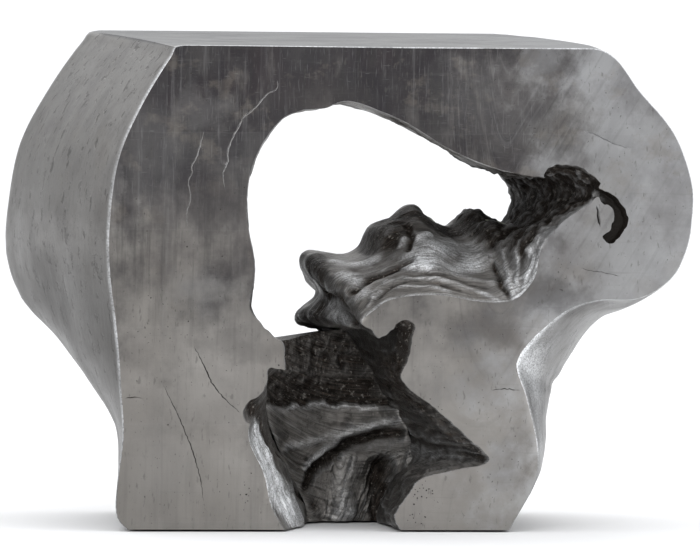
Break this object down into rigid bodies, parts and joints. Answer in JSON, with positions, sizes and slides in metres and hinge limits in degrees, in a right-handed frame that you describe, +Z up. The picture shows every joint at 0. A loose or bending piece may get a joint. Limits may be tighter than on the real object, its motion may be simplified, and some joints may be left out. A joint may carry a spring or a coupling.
{
  "type": "side table",
  "caption": "Free-standing side table shaped as a slice of hollow log: flat top and faces, bulging sides, a ragged opening through it and a recess between two feet, silver leafed",
  "frame": {"origin": "On the floor, under the middle of the table's bounding box", "axes": "+X along the table's width, to the viewer's right seen from the front; +Y from the front cut face to the back cut face; +Z up"},
  "size_m": [0.5962, 0.3, 0.45],
  "materials": {
    "silver_leaf": "silver leaf in overlapping squares over a cast body, brushed, with grey-brown patina",
    "dark_leaf": "the same leaf rubbed back over dark glaze in the eroded recess, rough and fibrous",
    "laminate": "resin-wetted glass tape, unfinished",
    "plywood": "plain birch plywood, unfinished",
    "base_board": "black board, matt",
    "zinc_steel": "zinc-plated steel",
    "nylon": "black moulded nylon"
  },
  "bodies": {
    "root": {"front_shell": "silver_leaf", "rear_shell": "silver_leaf", "recess_wall": "dark_leaf", "outer_seam_strip": "laminate", "opening_seam_strip": "laminate", "top_stiffener": "plywood", "left_rib": "plywood", "right_rib": "plywood", "left_base_panel": "base_board", "right_base_panel": "base_board", "base_screws": "zinc_steel", "front_left_block": "plywood", "front_left_insert": "zinc_steel", "rear_left_block": "plywood", "rear_left_insert": "zinc_steel", "front_right_block": "plywood", "front_right_insert": "zinc_steel", "rear_right_block": "plywood", "rear_right_insert": "zinc_steel"},
    "front_left_pad": {"front_left_pad": "nylon"},
    "front_left_stem": {"front_left_stem": "zinc_steel"},
    "rear_left_pad": {"rear_left_pad": "nylon"},
    "rear_left_stem": {"rear_left_stem": "zinc_steel"},
    "front_right_pad": {"front_right_pad": "nylon"},
    "front_right_stem": {"front_right_stem": "zinc_steel"},
    "rear_right_pad": {"rear_right_pad": "nylon"},
    "rear_right_stem": {"rear_right_stem": "zinc_steel"}
  },
  "joints": [
    {"name": "front_left_extend", "type": "slide", "parent": "root", "child": "front_left_pad", "axis": [0, 0, -1], "range_m": [0, 0.01]},
    {"name": "front_left_turn", "type": "hinge", "parent": "front_left_pad", "child": "front_left_stem", "pos_m": [-0.1827, -0.1, 0.003], "axis": [0, 0, -1], "range_deg": [0, 2880]},
    {"name": "rear_left_extend", "type": "slide", "parent": "root", "child": "rear_left_pad", "axis": [0, 0, -1], "range_m": [0, 0.01]},
    {"name": "rear_left_turn", "type": "hinge", "parent": "rear_left_pad", "child": "rear_left_stem", "pos_m": [-0.1327, 0.096, 0.003], "axis": [0, 0, -1], "range_deg": [0, 2880]},
    {"name": "front_right_extend", "type": "slide", "parent": "root", "child": "front_right_pad", "axis": [0, 0, -1], "range_m": [0, 0.01]},
    {"name": "front_right_turn", "type": "hinge", "parent": "front_right_pad", "child": "front_right_stem", "pos_m": [0.0723, -0.1, 0.003], "axis": [0, 0, -1], "range_deg": [0, 2880]},
    {"name": "rear_right_extend", "type": "slide", "parent": "root", "child": "rear_right_pad", "axis": [0, 0, -1], "range_m": [0, 0.01]},
    {"name": "rear_right_turn", "type": "hinge", "parent": "rear_right_pad", "child": "rear_right_stem", "pos_m": [0.0943, 0.096, 0.003], "axis": [0, 0, -1], "range_deg": [0, 2880]}
  ],
  "couplings": [
    {"joint": "front_left_extend", "follows": "front_left_turn", "m_per_rad": 0.00019894},
    {"joint": "rear_left_extend", "follows": "rear_left_turn", "m_per_rad": 0.00019894},
    {"joint": "front_right_extend", "follows": "front_right_turn", "m_per_rad": 0.00019894},
    {"joint": "rear_right_extend", "follows": "rear_right_turn", "m_per_rad": 0.00019894}
  ]
}
